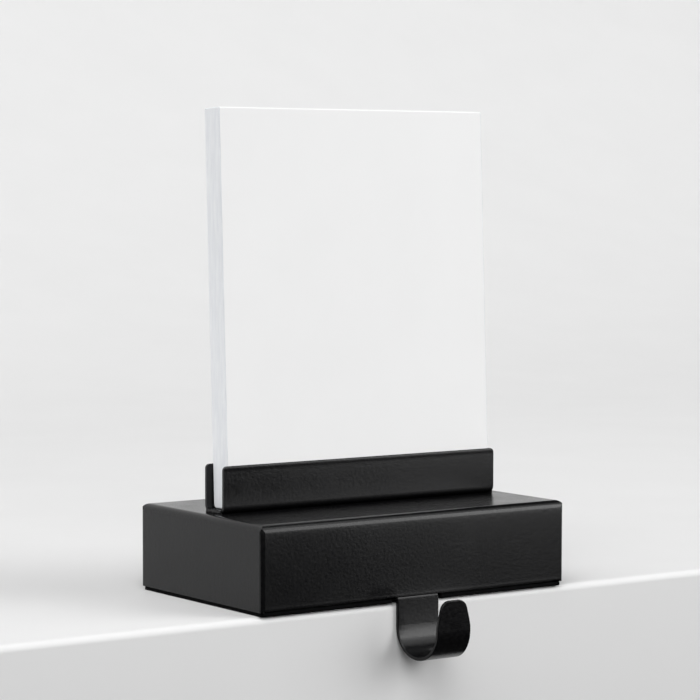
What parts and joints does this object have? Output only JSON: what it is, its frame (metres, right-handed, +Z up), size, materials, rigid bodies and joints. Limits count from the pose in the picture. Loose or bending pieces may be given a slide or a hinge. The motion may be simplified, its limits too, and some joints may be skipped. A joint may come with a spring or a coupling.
{
  "type": "mantel stocking holder",
  "caption": "Weighted black steel shelf-edge holder with a curled front hook for a stocking loop and a blank white sign board standing in a channel on its top.",
  "frame": {"origin": "centre of the pad's underside, the face that rests on the shelf", "axes": "+Z up, front with the hook towards -Y, +X to the right seen from the front"},
  "size_m": [0.1286, 0.0971, 0.187],
  "materials": {
    "black_powder_coat": "semi-matte black powder coat on folded steel sheet",
    "white_board": "smooth white coated fibreboard",
    "black_foam": "closed-cell foam sheet",
    "raw_iron": "raw casting"
  },
  "bodies": {
    "root": {"base_shell": "black_powder_coat", "hook_plate": "black_powder_coat", "sign_channel": "black_powder_coat", "sign_board": "white_board", "foam_pad": "black_foam", "ballast_block": "raw_iron"}
  },
  "joints": []
}
